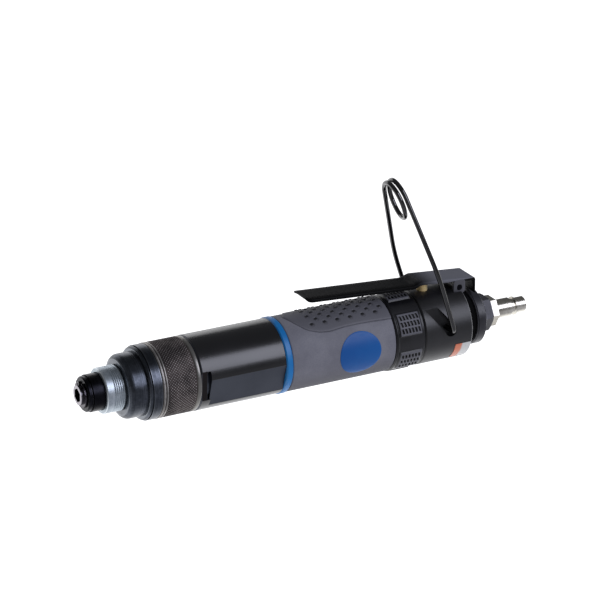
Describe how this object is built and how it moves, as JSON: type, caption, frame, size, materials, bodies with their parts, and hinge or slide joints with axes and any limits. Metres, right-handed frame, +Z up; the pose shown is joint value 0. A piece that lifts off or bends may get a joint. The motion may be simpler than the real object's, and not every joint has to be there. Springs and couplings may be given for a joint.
{
  "type": "pneumatic screwdriver",
  "caption": "Straight lever-start air screwdriver with a quick-change bit chuck, a knurled torque ring, a rubber grip, a reverse ring, a wire hanging bail and a plug-in air inlet.",
  "frame": {"origin": "centre of the bit socket's mouth, on the tool's axis", "axes": "+X along the tool from the bit socket to the air plug; +Z up through the start lever and the bail; +Y across, so that the pictured side is -Y"},
  "size_m": [0.2509, 0.0478, 0.1014],
  "materials": {
    "dark_steel": "blackened and worn bright at the edges",
    "black_oxide": "black oxide with a soft sheen",
    "bright_steel": "ground",
    "gear_steel": "machined",
    "nose_silver": "turned, satin",
    "blued_nose": "blue-black, semi-gloss",
    "knurled_steel": "knurled, browned, worn bright at the lips",
    "gloss_black": "gloss",
    "blue_plastic": "semi-gloss",
    "blue_badge": "gloss, plain",
    "grip_rubber": "satin moulded rubber",
    "ring_plastic": "matte with lighter pads",
    "housing_black": "matte powder coat",
    "label_film": "printed film without letters",
    "brass": "turned",
    "valve_rubber": "moulded",
    "bronze": "sintered",
    "vane_fibre": "laminated",
    "seal_fibre": "pressed fibre",
    "lever_black": "black, semi-gloss",
    "wire_black": "black, satin",
    "plug_nickel": "nickel plated"
  },
  "bodies": {
    "housing": {"nose_sleeve": "nose_silver", "nose_bush": "bronze", "nose_cap": "blued_nose", "clutch_housing": "blued_nose", "bearing_plate": "gear_steel", "output_bearing_outer": "bright_steel", "ring_gear": "gear_steel", "barrel": "gloss_black", "band_ring": "blue_plastic", "motor_housing": "gear_steel", "front_end_plate": "gear_steel", "front_bearing_outer": "bright_steel", "motor_cylinder": "gear_steel", "rear_end_plate": "gear_steel", "rear_bearing_outer": "bright_steel", "grip_sleeve": "grip_rubber", "badge": "blue_badge", "rear_housing": "housing_black", "side_label": "label_film", "valve_spring": "bright_steel", "valve_plug": "black_oxide", "lever_pin": "bright_steel", "silencer": "ring_plastic", "exhaust_cap": "black_oxide", "inlet_bushing": "black_oxide", "inlet_screen": "bright_steel", "inlet_seal": "seal_fibre", "air_plug": "plug_nickel"},
    "rotor_group": {"rotor": "gear_steel", "vanes": "vane_fibre", "sun_pinion": "gear_steel", "front_bearing_inner": "bright_steel", "rear_bearing_inner": "bright_steel"},
    "middle_group": {"middle_carrier": "gear_steel"},
    "output_group": {"output_carrier": "gear_steel", "output_bearing_inner": "bright_steel", "spindle": "dark_steel", "clutch_balls": "bright_steel", "bit_balls": "bright_steel", "chuck_clip": "bright_steel", "chuck_spring": "bright_steel"},
    "cam_group": {"clutch_cam": "bright_steel", "clutch_spring": "bright_steel"},
    "chuck_group": {"chuck_sleeve": "black_oxide"},
    "planet_front_a_body": {"planet_front_a": "gear_steel"},
    "planet_front_b_body": {"planet_front_b": "gear_steel"},
    "planet_front_c_body": {"planet_front_c": "gear_steel"},
    "planet_rear_a_body": {"planet_rear_a": "gear_steel"},
    "planet_rear_b_body": {"planet_rear_b": "gear_steel"},
    "planet_rear_c_body": {"planet_rear_c": "gear_steel"},
    "adjusting_group": {"adjusting_ring": "knurled_steel"},
    "seat_group": {"spring_seat": "bright_steel", "thrust_washer": "bright_steel"},
    "reverse_group": {"reverse_ring": "ring_plastic", "reverse_pin": "bright_steel", "reverse_spool": "gear_steel"},
    "lever_group": {"lever": "lever_black"},
    "throttle_group": {"throttle_pin": "brass", "throttle_valve": "valve_rubber"},
    "bail_group": {"bail": "wire_black"}
  },
  "joints": [
    {"name": "rotor_spin", "type": "hinge", "parent": "housing", "child": "rotor_group", "pos_m": [0.126, 0, 0], "axis": [1, 0, 0], "continuous": true},
    {"name": "carrier_spin", "type": "hinge", "parent": "housing", "child": "middle_group", "pos_m": [0.086, 0, 0], "axis": [1, 0, 0], "continuous": true},
    {"name": "output_spin", "type": "hinge", "parent": "housing", "child": "output_group", "pos_m": [0.06, 0, 0], "axis": [1, 0, 0], "continuous": true},
    {"name": "planet_rear_a_spin", "type": "hinge", "parent": "middle_group", "child": "planet_rear_a_body", "pos_m": [0.09113, 0, -0.009], "axis": [1, 0, 0], "continuous": true},
    {"name": "planet_rear_b_spin", "type": "hinge", "parent": "middle_group", "child": "planet_rear_b_body", "pos_m": [0.09113, 0.00779, 0.0045], "axis": [1, 0, 0], "continuous": true},
    {"name": "planet_rear_c_spin", "type": "hinge", "parent": "middle_group", "child": "planet_rear_c_body", "pos_m": [0.09113, -0.00779, 0.0045], "axis": [1, 0, 0], "continuous": true},
    {"name": "planet_front_a_spin", "type": "hinge", "parent": "output_group", "child": "planet_front_a_body", "pos_m": [0.08103, 0, -0.009], "axis": [1, 0, 0], "continuous": true},
    {"name": "planet_front_b_spin", "type": "hinge", "parent": "output_group", "child": "planet_front_b_body", "pos_m": [0.08103, 0.00779, 0.0045], "axis": [1, 0, 0], "continuous": true},
    {"name": "planet_front_c_spin", "type": "hinge", "parent": "output_group", "child": "planet_front_c_body", "pos_m": [0.08103, -0.00779, 0.0045], "axis": [1, 0, 0], "continuous": true},
    {"name": "cam_lift", "type": "slide", "parent": "output_group", "child": "cam_group", "axis": [1, 0, 0], "range_m": [0, 0.0012], "stiffness_N_per_m": 20000, "springref_m": -0.002, "deforming": ["clutch_spring"]},
    {"name": "chuck_slide", "type": "slide", "parent": "output_group", "child": "chuck_group", "axis": [1, 0, 0], "range_m": [0, 0.0025], "stiffness_N_per_m": 1500, "springref_m": -0.002, "deforming": ["chuck_spring"]},
    {"name": "adjust_turn", "type": "hinge", "parent": "housing", "child": "adjusting_group", "pos_m": [0.0473, 0, 0], "axis": [1, 0, 0], "range_deg": [0, 270]},
    {"name": "seat_travel", "type": "slide", "parent": "housing", "child": "seat_group", "axis": [-1, 0, 0], "range_m": [0, 0.0031], "deforming": ["clutch_spring"]},
    {"name": "reverse_turn", "type": "hinge", "parent": "housing", "child": "reverse_group", "pos_m": [0.17365, 0, 0], "axis": [1, 0, 0], "range_deg": [0, 40]},
    {"name": "lever_press", "type": "hinge", "parent": "housing", "child": "lever_group", "pos_m": [0.208, 0, 0.0195], "axis": [0, -1, 0], "range_deg": [0, 5], "stiffness_Nm_per_rad": 2, "springref_deg": -2.86},
    {"name": "throttle_travel", "type": "slide", "parent": "housing", "child": "throttle_group", "axis": [0, 0, -1], "range_m": [0, 0.0016], "deforming": ["valve_spring"]},
    {"name": "bail_swing", "type": "hinge", "parent": "housing", "child": "bail_group", "pos_m": [0.1967, 0, 0.0025], "axis": [0, 1, 0], "range_deg": [-36, 105]}
  ],
  "couplings": [
    {"joint": "carrier_spin", "follows": "rotor_spin", "ratio": 0.25},
    {"joint": "output_spin", "follows": "rotor_spin", "ratio": 0.0625},
    {"joint": "planet_rear_a_spin", "follows": "rotor_spin", "ratio": -0.75},
    {"joint": "planet_rear_b_spin", "follows": "rotor_spin", "ratio": -0.75},
    {"joint": "planet_rear_c_spin", "follows": "rotor_spin", "ratio": -0.75},
    {"joint": "planet_front_a_spin", "follows": "rotor_spin", "ratio": -0.1875},
    {"joint": "planet_front_b_spin", "follows": "rotor_spin", "ratio": -0.1875},
    {"joint": "planet_front_c_spin", "follows": "rotor_spin", "ratio": -0.1875},
    {"joint": "seat_travel", "follows": "adjust_turn", "m_per_rad": 0.000637},
    {"joint": "throttle_travel", "follows": "lever_press", "m_per_rad": 0.0177}
  ]
}
